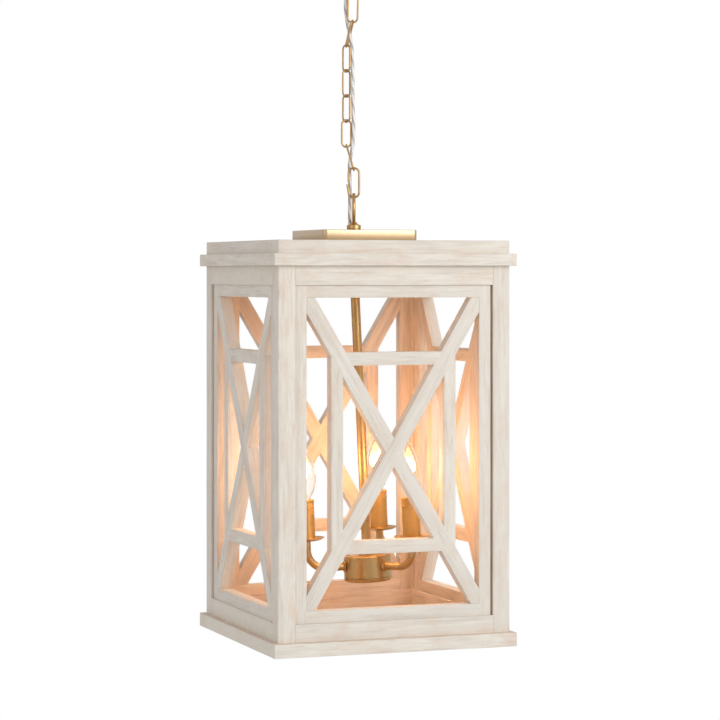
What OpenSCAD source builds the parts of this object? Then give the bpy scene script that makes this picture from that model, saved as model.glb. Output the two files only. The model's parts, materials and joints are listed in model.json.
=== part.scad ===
// Square open-lattice ceiling lantern: a wooden cage with a three-candle light cluster,
// hung from a ceiling canopy by a link chain with its lamp cord beside it.
// The ceiling is the plane z = 0 and the lantern hangs straight below the origin.

/* [Cage] */
// Width of the cage over its corner posts
body_w = 318; // [280:1:360]
// Width of the base slab and of the cornice
slab_w = 333; // [325:1:380]
// Width of a square corner post
post_w = 23; // [18:1:28]
// Thickness of the base slab
base_h = 18; // [12:1:24]
// Height of the bottom rails
bottom_rail_h = 23; // [15:1:30]
// Height of each side panel
panel_h = 431; // [380:1:480]
// Height of the top rails
top_rail_h = 25; // [18:1:35]
// Height of the crown boards
crown_h = 33; // [28:1:45]
// Height of the cornice strips
cornice_h = 16; // [10:1:22]
// Thickness of the board that closes the crown
lid_t = 12; // [9:1:16]

/* [Side panels] */
// Depth of every stick in a panel
stick_d = 17; // [12:1:19]
// Width of the stiles and rails of a panel
stile_w = 16; // [12:1:20]
// Set-back of a panel behind the posts
panel_recess = 3; // [1:0.5:4]
// Fitting gap that stays open beside a panel
panel_gap = 2.5; // [0:0.5:4]
// Width of the crossed diagonals
diagonal_w = 19.5; // [14:0.5:24]
// Width of the upright bars of the inner rectangle
upright_w = 16; // [12:1:20]
// Height of the level bars of the inner rectangle
level_h = 17; // [12:1:20]
// Spacing of the upright bars, centre to centre
upright_pitch = 155; // [130:1:170]
// Spacing of the level bars, centre to centre
level_pitch = 242; // [200:1:270]

/* [Brass cap and swivel] */
// Width of the square cap
cap_w = 133; // [110:1:160]
// Height of the cap
cap_h = 15; // [10:1:22]
// Corner radius of the cap
cap_r = 6; // [3:1:12]
// Wall of the cap
cap_wall = 1.6; // [1.2:0.1:3]
// Outside radius of the hollow nipple
nipple_r = 5; // [4:0.5:5.5]
// Radius of the ball at the top of the stem
ball_r = 10; // [9:0.5:11]

/* [Suspension] */
// Outside diameter of the two loop rings
ring_d = 41.5; // [36:0.5:48]
// Wire diameter of the two loop rings
ring_wire = 4.6; // [4:0.1:6]
// Radius of the turned collar under a loop ring
collar_r = 9.5; // [8:0.5:12]
// Height of that collar
collar_h = 9; // [7:0.5:12]
// Length of a chain link between its end wire centres
link_len = 36.6; // [34:0.1:40]
// Outside width of a chain link
link_w = 15.6; // [14:0.1:18]
// Wire diameter of a chain link
link_wire = 2.5; // [2:0.1:3]
// Length of the open connector between its end wire centres
connector_len = 39.7; // [36:0.1:44]
// Outside width of the connector
connector_w = 17; // [16:0.5:20]
// Wire diameter of the connector
connector_wire = 2.8; // [2.4:0.1:3.2]
// Radius of the canopy
canopy_r = 63; // [55:1:70]
// Depth of the canopy
canopy_h = 25; // [20:1:35]
// Diameter of the lamp cord
cord_d = 4.8; // [3.5:0.1:5]

/* [Light cluster] */
// Sideways lean of the stem
lean = 2.6; // [0:0.1:3]
// Radius of the stem
stem_r = 6.2; // [5:0.1:7]
// Radius of the hub drum
hub_r = 31.75; // [28:0.25:36]
// Radius of the circle of candles
candle_circle = 83; // [76:1:90]
// Radius of an arm tube
arm_r = 5.1; // [4:0.1:6]
// Bend radius of an arm
arm_bend = 25; // [18:1:30]
// Radius of a drip dish
dish_r = 24; // [20:1:28]
// Outside radius of a candle sleeve
sleeve_r = 11.8; // [11.5:0.1:13]
// Height of a candle sleeve
sleeve_h = 51; // [45:1:60]
// Largest radius of a bulb
bulb_r = 16; // [14:0.5:17]
// Height of a bulb's glass
bulb_h = 79; // [70:1:90]

/* [Hidden] */
$fn = 48;

wood = "#e0d8cc";
gold = "#b98a4e";
play = 0.15;      // radial clearance of a loose fit
link_gap = 0.3;   // clearance between two hooked wires
turn = 20;        // the chain and the cluster are turned this far about the vertical

// Heights above the underside of the base slab
rail_top = base_h + bottom_rail_h;
panel_top = rail_top + panel_h;
crown_z = panel_top + top_rail_h;
cap_z = crown_z + crown_h;
loop_z = cap_z + cap_h;
ring_r = (ring_d - ring_wire) / 2;
ring_z = loop_z + collar_h + ring_d / 2;

// Chain: sideways and backward places of each link's top end, from the first link up
link_tops = [[-10, 8], [-10, 8], [-10, 8], [-10, 8], [-10, 8], [-1.7, 0], [-0.9, 0], [0, 0]];
// Turn of each link about its own length; 90 stands edge-on to the connector
link_turns = [90, 20, -45, 45, -45, 80, 0, 90];
links = len(link_tops);
connector_z = ring_z + ring_r - (ring_wire + connector_wire) / 2 - link_gap;
first_link_z = connector_z + connector_len - (connector_wire + link_wire) / 2 - link_gap;
link_hook = link_wire + link_gap;
function link_foot(i) = i == 0 ? [0, 0] : link_tops[i - 1];
function link_step(i) = link_tops[i] - link_foot(i);
function link_rise(i) = sqrt(link_len ^ 2 - norm(link_step(i)) ^ 2);
function link_z(i) = i == 0 ? first_link_z : link_z(i - 1) + link_rise(i - 1) - link_hook;
chain_top_z = link_z(links - 1) + link_rise(links - 1);
canopy_ring_z = chain_top_z - (link_wire + ring_wire) / 2 - link_gap + ring_r;
canopy_z = canopy_ring_z + ring_d / 2 + collar_h;
drop = canopy_z + canopy_h;

// Side panels
panel_face = body_w / 2 - panel_recess;
bay = body_w / 2 - post_w;
panel_right = bay - panel_gap;
clear_left = -bay + stile_w;
clear_right = panel_right - stile_w;
clear_low = rail_top + stile_w;
clear_high = panel_top - stile_w;
clear_w = clear_right - clear_left;
clear_h = clear_high - clear_low;
lattice_x = (clear_left + clear_right) / 2;
lattice_z = (clear_low + clear_high) / 2;
diagonal_angle = atan2(clear_h, clear_w);
upright_reach = upright_pitch / 2 * tan(diagonal_angle);
level_reach = level_pitch / 2 / tan(diagonal_angle);
side_turns = [0, 180, 90, 90];

// Light cluster
pivot_z = crown_z - 1;
cup_top = cap_z - lid_t;
cup_r = ball_r + 4;
cup_mouth = 6;
hub_z = 73.5;
cover_h = 6;
hub_top = 109;
arm_z = 95;
dish_z = 133;
sleeve_z = 137;
sleeve_top = sleeve_z + sleeve_h;
arm_angles = [-43, 77, 197];
socket_r = 8;
base_r = 5.85;
base_low = sleeve_top - 17;
glass_z = sleeve_top + 1;
neck_r = 6.6;

// Lamp cord: sideways, backward and up from the base, from the canopy down to the cap
cord_route = [
  [-12, 10, 948], [-12, 10, 936], [-12, 10, 922], [-12, 9, 905], [-12, 8, 890], [-11.5, 6, 872],
  [-11, 5, 856],
  [-11, 4.5, 842], [-9.5, 4, 830], [-8, 4, 820], [-5.8, 4, 810], [-3.8, 5.5, 799],
  [-2.5, 8, 787], [-2, 8, 770], [-1.5, 8, 750], [-1.5, 8, 730], [-1, 8, 710], [-0.5, 8, 690],
  [-0.5, 8, 675], [-1.5, 7, 661], [-3, 5, 650], [-4.7, 3.8, 642], [-5.8, 4.5, 633],
  [-5.6, 6, 620], [-5.2, 6.5, 605], [-5.4, 7, 590], [-5.5, 9, 574], [-5.5, 12.5, 560],
  [-5.5, 14, 550], [-5.5, 14, 538]
];

module from_base(z) { translate([0, 0, z - drop]) children(); }
module turned() { rotate([0, 0, -turn]) children(); }
module tube(r, bore, h) {
  difference() {
    cylinder(r = r, h = h);
    translate([0, 0, -1]) cylinder(r = bore, h = h + 2);
  }
}
module block(x, y, z) {
  translate([x[0], y[0], z[0]]) cube([x[1] - x[0], y[1] - y[0], z[1] - z[0]]);
}

// ---- ceiling fitting ----
module ceiling_crossbar() {
  color("silver") translate([0, 0, -2.5]) difference() {
    block([-53, 53], [-8, 8], [0, 2.5]);
    translate([0, 0, -1]) cylinder(r = nipple_r + play, h = 5);
    for (side = [-1, 1]) slot_hole(side * 44.5);
  }
}
// A slot for a screw of 4 mm, 12 mm from end to end
module slot_hole(x) {
  for (end = [-4, 4]) translate([x + end, 0, -1]) cylinder(r = 2.2, h = 5);
  block([x - 4, x + 4], [-2.2, 2.2], [-1, 4]);
}
module ceiling_nipple() {
  color(gold) translate([0, 0, -31.5]) tube(nipple_r, nipple_r - 1.2, 31);
}
module nipple_nut() {
  color("silver") translate([0, 0, -6.5]) difference() {
    cylinder(r = 8.5, h = 3.8, $fn = 6);
    translate([0, 0, -1]) cylinder(r = nipple_r + play, h = 6);
  }
}
module canopy() {
  color(gold) from_base(canopy_z) difference() {
    rotate_extrude($fn = 96) canopy_profile();
    translate([0, 0, -1]) cylinder(r = nipple_r + play, h = 5);
    turned() translate([-12, 10, -1]) cylinder(r = cord_d / 2 + 0.8, h = 5);
  }
}
// A shallow spun cup that is open to the ceiling
module canopy_profile() {
  wall = 1.5;
  polygon([
    [0, 0], [canopy_r - 22, 0], [canopy_r - 17, 1], [canopy_r - 13, 4], [canopy_r - 10, canopy_h - 8],
    [canopy_r - 6, canopy_h - 4], [canopy_r, canopy_h - 2], [canopy_r, canopy_h],
    [canopy_r - 2, canopy_h], [canopy_r - 7, canopy_h - wall], [canopy_r - 10 - wall, canopy_h - 7],
    [canopy_r - 13 - wall, 5], [canopy_r - 18, 1 + wall], [canopy_r - 22, wall], [0, wall]
  ]);
}
module canopy_ring_nut() {
  color(gold) from_base(canopy_z + 1.5 + 0.1) tube(8, nipple_r + play, 3);
}
// A ring on a turned collar with a blind bore, the collar pointing up
module loop_with_collar() {
  rotate([90, 0, 0]) rotate_extrude($fn = 72) translate([ring_r, 0]) circle(d = ring_wire, $fn = 24);
  translate([0, 0, ring_d / 2 - 1.2]) difference() {
    union() {
      cylinder(r1 = 4.5, r2 = collar_r, h = 3.2);
      translate([0, 0, 3.2]) cylinder(r = collar_r, h = collar_h - 2);
    }
    translate([0, 0, 3.5]) cylinder(r = nipple_r + play, h = collar_h);
  }
}
module canopy_loop() {
  color(gold) from_base(canopy_ring_z) turned() loop_with_collar();
}

// ---- chain ----
// A long link that stands upright on its lower end wire's centre, its width along X
module chain_link(length, width, wire) {
  r = (width - wire) / 2;
  for (end = [0, 1]) translate([0, 0, end * length]) mirror([0, 0, end])
    translate([0, 0, r]) rotate([90, 0, 0]) rotate([0, 0, 180])
      rotate_extrude(angle = 180, $fn = 48) translate([r, 0]) circle(d = wire, $fn = 16);
  for (side = [-1, 1]) translate([side * r, 0, r]) cylinder(d = wire, h = length - 2 * r, $fn = 16);
}
module placed_link(i) {
  step = link_step(i);
  lean_side = atan2(step[0], link_rise(i));
  lean_back = -asin(step[1] / link_len);
  foot = link_foot(i);
  color(gold) from_base(link_z(i)) turned() translate([foot[0], foot[1], 0])
    rotate([lean_back, lean_side, 0]) rotate([0, 0, link_turns[i]])
      chain_link(link_len, link_w, link_wire);
}
// The connector is an open link: its left side is cut and sprung a little outward
module connector_link() {
  r = (connector_w - connector_wire) / 2;
  side_h = connector_len - 2 * r;
  cut = side_h * 0.52;
  splay = 9;
  color(gold) from_base(connector_z) turned() {
    translate([0, 0, connector_len]) mirror([0, 0, 1]) connector_end(180);
    connector_end(180);
    translate([r, 0, r]) cylinder(d = connector_wire, h = side_h, $fn = 16);
    translate([-r, 0, r + cut]) cylinder(d = connector_wire, h = side_h - cut, $fn = 16);
    translate([-r, 0, r]) rotate([0, -splay, 0]) cylinder(d = connector_wire, h = cut - 2, $fn = 16);
  }
}
module connector_end(sweep) {
  r = (connector_w - connector_wire) / 2;
  translate([0, 0, r]) rotate([90, 0, 0]) rotate([0, 0, 180])
    rotate_extrude(angle = sweep, $fn = 48) translate([r, 0]) circle(d = connector_wire, $fn = 16);
}

// ---- lamp cord ----
cord_sides = 10;
cord_cuts = 2;
function spline(a, b, c, d, t) =
  ((2 * b) + (c - a) * t + (2 * a - 5 * b + 4 * c - d) * t ^ 2 + (3 * b - a - 3 * c + d) * t ^ 3) / 2;
function route_at(i) = cord_route[max(0, min(len(cord_route) - 1, i))];
cord_line = [
  for (i = [0 : len(cord_route) - 2], k = [0 : cord_cuts - 1])
    spline(route_at(i - 1), route_at(i), route_at(i + 1), route_at(i + 2), k / cord_cuts),
  cord_route[len(cord_route) - 1]
];
function unit(v) = v / norm(v);
function line_dir(i) =
  unit(cord_line[min(len(cord_line) - 1, i + 1)] - cord_line[max(0, i - 1)]);
function ring_at(i) =
  let (d = line_dir(i), a = unit(cross(d, [0, 1, 0])), b = cross(d, a))
  [for (k = [0 : cord_sides - 1])
    cord_line[i] + cord_d / 2 * (cos(k * 360 / cord_sides) * a + sin(k * 360 / cord_sides) * b)];
module lamp_cord() {
  rings = len(cord_line);
  points = [for (i = [0 : rings - 1]) each ring_at(i)];
  walls = [for (i = [0 : rings - 2], k = [0 : cord_sides - 1])
    let (a = i * cord_sides + k, b = i * cord_sides + (k + 1) % cord_sides)
    [a, b, b + cord_sides, a + cord_sides]];
  first = [for (k = [cord_sides - 1 : -1 : 0]) k];
  last = [for (k = [0 : cord_sides - 1]) (rings - 1) * cord_sides + k];
  color("lightgrey") from_base(0) turned()
    polyhedron(points = points, faces = concat(walls, [first], [last]), convexity = 6);
}

// ---- lantern top ----
module lantern_loop() {
  color(gold) from_base(ring_z) turned() rotate([0, 0, 90]) mirror([0, 0, 1]) loop_with_collar();
}
module rounded_square(w, r, h) {
  for (x = [-1, 1], y = [-1, 1]) translate([x * (w / 2 - r), y * (w / 2 - r), 0]) cylinder(r = r, h = h);
  block([-w / 2 + r, w / 2 - r], [-w / 2, w / 2], [0, h]);
  block([-w / 2, w / 2], [-w / 2 + r, w / 2 - r], [0, h]);
}
module brass_cap() {
  color(gold) from_base(cap_z) difference() {
    rounded_square(cap_w, cap_r, cap_h);
    translate([0, 0, -1]) rounded_square(cap_w - 2 * cap_wall, cap_r - cap_wall, cap_h + 1 - cap_wall);
    cylinder(r = nipple_r + play, h = cap_h + 1);
    turned() translate([-5.5, 14, 0]) cylinder(r = cord_d / 2 + 0.8, h = cap_h + 1);
  }
}
module top_nipple() {
  color(gold) from_base(cup_top - 8) tube(nipple_r, nipple_r - 1.2, loop_z + 5 - cup_top + 8);
}
// The cup under the lid holds the ball of the stem and lets it hang a little off plumb
module swivel_cup() {
  h = cup_top - pivot_z + cup_mouth;
  color(gold) from_base(pivot_z - cup_mouth) difference() {
    cylinder(r = cup_r, h = h);
    translate([0, 0, cup_mouth]) sphere(r = ball_r + 0.3);
    translate([0, 0, h - 8.5]) cylinder(r = nipple_r + play, h = 9);
    translate([0, 0, cup_mouth]) cylinder(r = nipple_r - 1.2, h = h);
  }
}

// ---- wooden cage ----
module lid_board() {
  color(wood) from_base(cap_z - lid_t) difference() {
    block([-bay, bay], [-bay, bay], [0, lid_t]);
    translate([0, 0, -1]) cylinder(r = nipple_r + play, h = lid_t + 2);
  }
}
module crown_boards() {
  half = body_w / 2;
  color(wood) from_base(crown_z) for (side = [0, 180]) rotate([0, 0, side]) {
    block([-half, half], [-half, -bay], [0, crown_h]);
    block([bay, half], [-bay, bay], [0, crown_h]);
  }
}
// Four strips laid round the crown, each end covering the next one's end
module cornice_strips() {
  half = body_w / 2;
  out = slab_w / 2;
  color(wood) from_base(crown_z) for (side = [0 : 3]) rotate([0, 0, side * 90])
    block([-out, half], [-out, -half], [0, cornice_h]);
}
module top_rails() {
  color(wood) from_base(panel_top) rails(top_rail_h);
}
module bottom_rails() {
  color(wood) from_base(base_h) rails(bottom_rail_h);
}
module rails(h) {
  for (side = [0 : 3]) rotate([0, 0, side * 90])
    block([-bay, bay], [-body_w / 2, -bay], [0, h]);
}
module base_board() {
  out = slab_w / 2;
  color(wood) from_base(0) block([-out, out], [-out, out], [0, base_h]);
}
module post(x, y) {
  half = body_w / 2;
  color(wood) from_base(base_h) translate([x < 0 ? -half : bay, y < 0 ? -half : bay, 0])
    cube([post_w, post_w, crown_z - base_h]);
}

// ---- side panels, drawn for the front and turned to the other sides ----
module on_side(side) {
  if (side == "left") rotate([0, 0, 90]) mirror([0, 1, 0]) children();
  else if (side == "right") rotate([0, 0, 90]) children();
  else if (side == "back") rotate([0, 0, 180]) children();
  else children();
}
module panel_stick(x, z) { block(x, [-panel_face, -panel_face + stick_d], z); }
module panel_frame(side) {
  color(wood) from_base(0) on_side(side) {
    panel_stick([-bay, clear_left], [rail_top, panel_top]);
    panel_stick([clear_right, panel_right], [rail_top, panel_top]);
    panel_stick([clear_left, clear_right], [rail_top, clear_low]);
    panel_stick([clear_left, clear_right], [clear_high, panel_top]);
  }
}
module diagonal(angle, extra) {
  reach = clear_h;
  translate([lattice_x, 0, lattice_z]) rotate([0, -angle, 0])
    block([-reach, reach], [-panel_face - extra, -panel_face + stick_d + extra],
      [-diagonal_w / 2, diagonal_w / 2]);
}
module lattice(side) {
  color(wood) from_base(0) on_side(side) {
    intersection() {
      panel_stick([clear_left, clear_right], [clear_low, clear_high]);
      diagonal(-diagonal_angle, 1);
    }
    difference() {
      intersection() {
        panel_stick([clear_left, clear_right], [clear_low, clear_high]);
        diagonal(diagonal_angle, 1);
      }
      diagonal(-diagonal_angle, 2);
    }
    difference() {
      lattice_bars();
      diagonal(diagonal_angle, 2);
      diagonal(-diagonal_angle, 2);
    }
  }
}
module lattice_bars() {
  for (side = [-1, 1]) {
    x = lattice_x + side * upright_pitch / 2;
    z = lattice_z + side * level_pitch / 2;
    panel_stick([x - upright_w / 2, x + upright_w / 2],
      [lattice_z - upright_reach, lattice_z + upright_reach]);
    panel_stick([lattice_x - level_reach, lattice_x + level_reach], [z - level_h / 2, z + level_h / 2]);
  }
}

// ---- light cluster ----
// Leans everything about the swivel ball, its foot going to the chain's right
module leaning() {
  from_base(pivot_z) turned() rotate([0, -lean, 0]) translate([0, 0, -pivot_z]) children();
}
module at_candle(i) {
  leaning() rotate([0, 0, arm_angles[i]]) translate([candle_circle, 0, 0]) children();
}
module stem() {
  color(gold) leaning() difference() {
    union() {
      translate([0, 0, pivot_z]) sphere(r = ball_r);
      translate([0, 0, hub_top - 5]) cylinder(r = stem_r, h = pivot_z - hub_top);
    }
    translate([0, 0, hub_top - 6]) cylinder(r = stem_r - 1.6, h = pivot_z - hub_top + 20);
  }
}
module stem_collar() {
  color(gold) leaning() translate([0, 0, hub_top]) difference() {
    union() {
      cylinder(r = 12, h = 5);
      translate([0, 0, 5]) cylinder(r1 = 12, r2 = 8.5, h = 4);
    }
    translate([0, 0, -1]) cylinder(r = stem_r + play, h = 12);
  }
}
// A drum with a closed top, a rounded upper edge and a hole for each arm
module hub_drum() {
  h = hub_top - hub_z - cover_h;
  edge = 2;
  wall = 1.6;
  color(gold) leaning() difference() {
    translate([0, 0, hub_top - h]) rotate_extrude($fn = 96) difference() {
      union() {
        square([hub_r, h - edge]);
        square([hub_r - edge, h]);
        translate([hub_r - edge, h - edge]) circle(r = edge, $fn = 32);
      }
      translate([0, -1]) square([hub_r - wall, h + 1 - wall]);
    }
    translate([0, 0, hub_top - 5]) cylinder(r = stem_r + play, h = 10);
    for (angle = arm_angles) rotate([0, 0, angle]) translate([0, 0, arm_z]) rotate([0, 90, 0])
      cylinder(r = arm_r + play, h = hub_r + 5);
  }
}
module hub_cover() {
  color(gold) leaning() translate([0, 0, hub_z]) difference() {
    union() {
      cylinder(r = hub_r - 1.2, h = 1.5, $fn = 96);
      translate([0, 0, 1.5]) cylinder(r = hub_r, h = cover_h - 1.6, $fn = 96);
    }
    translate([0, 0, 2]) cylinder(r = hub_r - 3, h = cover_h, $fn = 96);
    translate([0, 0, -1]) cylinder(r = 2.2, h = 5);
  }
}
module hub_finial() {
  color(gold) leaning() translate([0, 0, hub_z]) {
    translate([0, 0, -2]) cylinder(r1 = 4.5, r2 = 5.5, h = 1.8);
    translate([0, 0, -0.3]) cylinder(r = 2, h = 8);
  }
}
module arm(i) {
  level_end = candle_circle - arm_bend;
  color(gold) leaning() rotate([0, 0, arm_angles[i]]) translate([0, 0, arm_z]) {
    translate([26, 0, 0]) rotate([0, 90, 0]) tube(arm_r, arm_r - 1, level_end - 26);
    translate([level_end, 0, arm_bend]) rotate([90, 0, 0]) rotate([0, 0, -90])
      rotate_extrude(angle = 90, $fn = 96) translate([arm_bend, 0]) difference() {
        circle(r = arm_r);
        circle(r = arm_r - 1);
      }
    translate([candle_circle, 0, arm_bend]) tube(arm_r, arm_r - 1, dish_z - arm_z - arm_bend);
  }
}
// A shallow dish with a raised rim under each candle
module drip_dishes() {
  rim = 3.5;
  t = 1.2;
  color(gold) for (i = [0 : 2]) at_candle(i) translate([0, 0, dish_z]) rotate_extrude($fn = 72)
    polygon([[4, 0], [14, 0], [dish_r - 5, 1], [dish_r - 0.6, rim], [dish_r, rim + 0.6],
      [dish_r - 1.4, rim + 0.9], [dish_r - 5.5, 1 + t], [14, t], [14, sleeve_z - dish_z], [4, sleeve_z - dish_z]]);
}
module sockets() {
  h = sleeve_top - 5 - sleeve_z;
  floor_h = base_low - 4 - sleeve_z;
  color("ivory") for (i = [0 : 2]) at_candle(i) translate([0, 0, sleeve_z]) difference() {
    cylinder(r = socket_r, h = h);
    translate([0, 0, floor_h]) cylinder(r = base_r + 0.35, h = h);
  }
}
module candle_sleeve(i) {
  lip = 2;
  color(gold) at_candle(i) translate([0, 0, sleeve_z]) difference() {
    cylinder(r = sleeve_r, h = sleeve_h);
    translate([0, 0, -1]) cylinder(r = sleeve_r - 1.6, h = sleeve_h + 1 - lip);
    translate([0, 0, sleeve_h - 3]) cylinder(r = 8.6, h = 4);
  }
}
module bulb_contact(i) {
  color("silver") at_candle(i) translate([0, 0, base_low - 2]) cylinder(r1 = 1.6, r2 = 2.6, h = 1.8);
}
module bulb_base(i) {
  color("silver") at_candle(i) {
    translate([0, 0, base_low]) cylinder(r1 = 3.6, r2 = base_r, h = 2.5);
    translate([0, 0, base_low + 2.5]) cylinder(r = base_r, h = sleeve_top - base_low - 6.5);
    translate([0, 0, sleeve_top - 4]) cylinder(r1 = base_r, r2 = 7.2, h = 2);
    translate([0, 0, sleeve_top - 2]) cylinder(r = 7.2, h = 2.8);
  }
}
// Radius of the blown glass at a share s of its height, from the neck to the tip
function glass_r(s) =
  sqrt((neck_r * (1 - s)) ^ 2 + ((bulb_r - 0.5) * sin(180 * s ^ 0.72) ^ 0.85) ^ 2);
module bulb_glass(i) {
  steps = 24;
  wall = 0.8;
  outside = [for (k = [0 : steps]) [glass_r(k / steps), bulb_h * k / steps]];
  inside = [for (k = [steps - 1 : -1 : 0])
    [max(0, glass_r(k / steps) - wall), min(bulb_h - 2, bulb_h * k / steps)]];
  color([1, 0.95, 0.85, 0.4]) at_candle(i) translate([0, 0, glass_z])
    rotate_extrude($fn = 48) polygon(concat(outside, [[0, bulb_h - 2]], inside));
}

ceiling_crossbar();
ceiling_nipple();
nipple_nut();
canopy();
canopy_ring_nut();
canopy_loop();
placed_link(7);  // chain_link_8
placed_link(6);  // chain_link_7
placed_link(5);  // chain_link_6
placed_link(4);  // chain_link_5
placed_link(3);  // chain_link_4
placed_link(2);  // chain_link_3
placed_link(1);  // chain_link_2
placed_link(0);  // chain_link_1
connector_link();
lamp_cord();
lantern_loop();
brass_cap();
top_nipple();
swivel_cup();
lid_board();
crown_boards();
cornice_strips();
top_rails();
bottom_rails();
base_board();
post(-1, -1);  // post_front_left
post(1, -1);  // post_front_right
post(-1, 1);  // post_back_left
post(1, 1);  // post_back_right
panel_frame("front");  // panel_frame_front
panel_frame("back");  // panel_frame_back
panel_frame("left");  // panel_frame_left
panel_frame("right");  // panel_frame_right
lattice("front");  // lattice_front
lattice("back");  // lattice_back
lattice("left");  // lattice_left
lattice("right");  // lattice_right
stem();
stem_collar();
hub_drum();
hub_cover();
hub_finial();
arm(0);  // arm_1
arm(1);  // arm_2
arm(2);  // arm_3
drip_dishes();
sockets();
candle_sleeve(0);  // candle_sleeve_1
candle_sleeve(1);  // candle_sleeve_2
candle_sleeve(2);  // candle_sleeve_3
bulb_contact(0);  // bulb_contact_1
bulb_contact(1);  // bulb_contact_2
bulb_contact(2);  // bulb_contact_3
bulb_base(0);  // bulb_base_1
bulb_base(1);  // bulb_base_2
bulb_base(2);  // bulb_base_3
bulb_glass(0);  // bulb_glass_1
bulb_glass(1);  // bulb_glass_2
bulb_glass(2);  // bulb_glass_3
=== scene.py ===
"""The looks of a square whitewashed lattice lantern that hangs from a ceiling canopy by a chain.

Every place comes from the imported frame: a node's box, its vertices measured along an axis, or a joint.
"""

import json
import math
import random

import bmesh
import bpy
import numpy as np
from mathutils import Matrix, Vector, noise


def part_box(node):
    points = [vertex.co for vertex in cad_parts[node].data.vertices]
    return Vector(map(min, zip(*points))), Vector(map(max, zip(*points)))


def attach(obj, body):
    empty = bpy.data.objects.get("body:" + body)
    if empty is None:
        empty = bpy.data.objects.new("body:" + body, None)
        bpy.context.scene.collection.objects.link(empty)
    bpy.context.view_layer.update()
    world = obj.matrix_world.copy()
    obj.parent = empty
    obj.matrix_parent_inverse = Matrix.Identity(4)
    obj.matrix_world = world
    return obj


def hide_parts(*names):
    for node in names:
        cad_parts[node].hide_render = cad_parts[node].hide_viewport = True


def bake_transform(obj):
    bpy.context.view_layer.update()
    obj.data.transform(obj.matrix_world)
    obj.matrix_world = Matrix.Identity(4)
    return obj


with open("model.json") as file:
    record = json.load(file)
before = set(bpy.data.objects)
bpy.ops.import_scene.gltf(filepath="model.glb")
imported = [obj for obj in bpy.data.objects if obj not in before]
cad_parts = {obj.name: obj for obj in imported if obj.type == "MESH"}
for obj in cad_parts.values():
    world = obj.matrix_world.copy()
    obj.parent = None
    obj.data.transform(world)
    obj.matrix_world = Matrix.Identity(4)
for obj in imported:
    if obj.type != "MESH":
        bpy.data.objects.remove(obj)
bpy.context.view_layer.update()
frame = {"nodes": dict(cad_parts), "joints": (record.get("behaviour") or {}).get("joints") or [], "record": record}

MM = 0.001
X, Y, UP = Vector((1, 0, 0)), Vector((0, 1, 0)), Vector((0, 0, 1))
joints = {j["name"]: j for j in frame["joints"]}
body_of_node = {n: b for b, ns in frame["record"]["behaviour"]["bodies"].items() for n in ns}
slot_of_node = {s["node"]: s["material_slot"] for s in frame["record"]["subparts"]}
SIDE = Vector(joints["chain_swing"]["axis"])  # sideways across the chain and the cluster
BACK = UP.cross(SIDE)  # and backwards
BASE_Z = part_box("base_board")[0].z
random.seed(7)
noise.seed_set(7)


# ---- camera ----
def add_camera():
    """A long lens level with the cage, turned a little past its front."""
    lens, sensor = 128.3, 36.0
    data = bpy.data.cameras.new("camera")
    data.lens, data.sensor_width, data.shift_y = lens, sensor, -0.119
    camera = bpy.data.objects.new("camera", data)
    camera.location = (-1.1728, -3.2466, BASE_Z + 0.4859)
    camera.rotation_euler = (math.radians(90), 0, math.radians(-20))
    bpy.context.collection.objects.link(camera)
    bpy.context.scene.camera = camera


add_camera()


# ---- mesh building ----
def new_object(name, bm, materials, smooth_angle=40):
    """An object of that name from a bmesh, smooth but for edges sharper than the angle."""
    bmesh.ops.recalc_face_normals(bm, faces=bm.faces)
    mesh = bpy.data.meshes.new(name)
    for edge in bm.edges:
        edge.smooth = len(edge.link_faces) == 2 and edge.calc_face_angle(0) < math.radians(smooth_angle)
    for face in bm.faces:
        face.smooth = True
    bm.to_mesh(mesh)
    bm.free()
    obj = bpy.data.objects.new(name, mesh)
    for material in materials:
        mesh.materials.append(material)
    bpy.context.collection.objects.link(obj)
    return obj


def stand_for(obj, *nodes):
    """obj rides with the first node's body and replaces all of the nodes."""
    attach(obj, body_of_node[nodes[0]])
    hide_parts(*nodes)
    return obj


def ride_with(obj, node):
    """obj is a small piece more than CAD has, on the node's body."""
    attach(obj, body_of_node[node])
    return obj


def skin(bm, rings, closed=True, caps=(False, False)):
    """Faces between rings of points; each ring goes round, and closed joins the last ring's ends."""
    made = [[bm.verts.new(p) for p in ring] for ring in rings]
    count = len(made[0])
    for low, high in zip(made, made[1:]):
        for k in range(count if closed else count - 1):
            n = (k + 1) % count
            bm.faces.new((low[k], low[n], high[n], high[k]))
    if caps[0]:
        bm.faces.new(list(reversed(made[0])))
    if caps[1]:
        bm.faces.new(made[-1])
    return made


def across(axis):
    """Two unit vectors square to an axis."""
    a = axis.cross(Vector((0.3, 1, 0.1))).normalized()
    return a, axis.cross(a).normalized()


def lathe(bm, origin, axis, profile, segments=72, shape=None):
    """A turned form from (radius, height) points; shape(angle, radius, height) may change a radius."""
    a, b = across(axis)
    rings = []
    for r, h in profile:
        ring = []
        for k in range(segments):
            t = 2 * math.pi * k / segments
            radius = max(shape(t, r, h) if shape else r, 1e-6)
            ring.append(origin + axis * h + (a * math.cos(t) + b * math.sin(t)) * radius)
        rings.append(ring)
    skin(bm, rings)
    bmesh.ops.remove_doubles(bm, verts=bm.verts, dist=3e-6)


def turn_steps(angle, steps):
    """Angles from 0 to the one given, both ends included."""
    return [angle * k / steps for k in range(steps + 1)]


def arc(cx, cy, r, start, end, steps):
    """Points of an arc in a profile, angles in degrees."""
    angles = [math.radians(start + (end - start) * k / steps) for k in range(steps + 1)]
    return [(cx + r * math.cos(t), cy + r * math.sin(t)) for t in angles]


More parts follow.
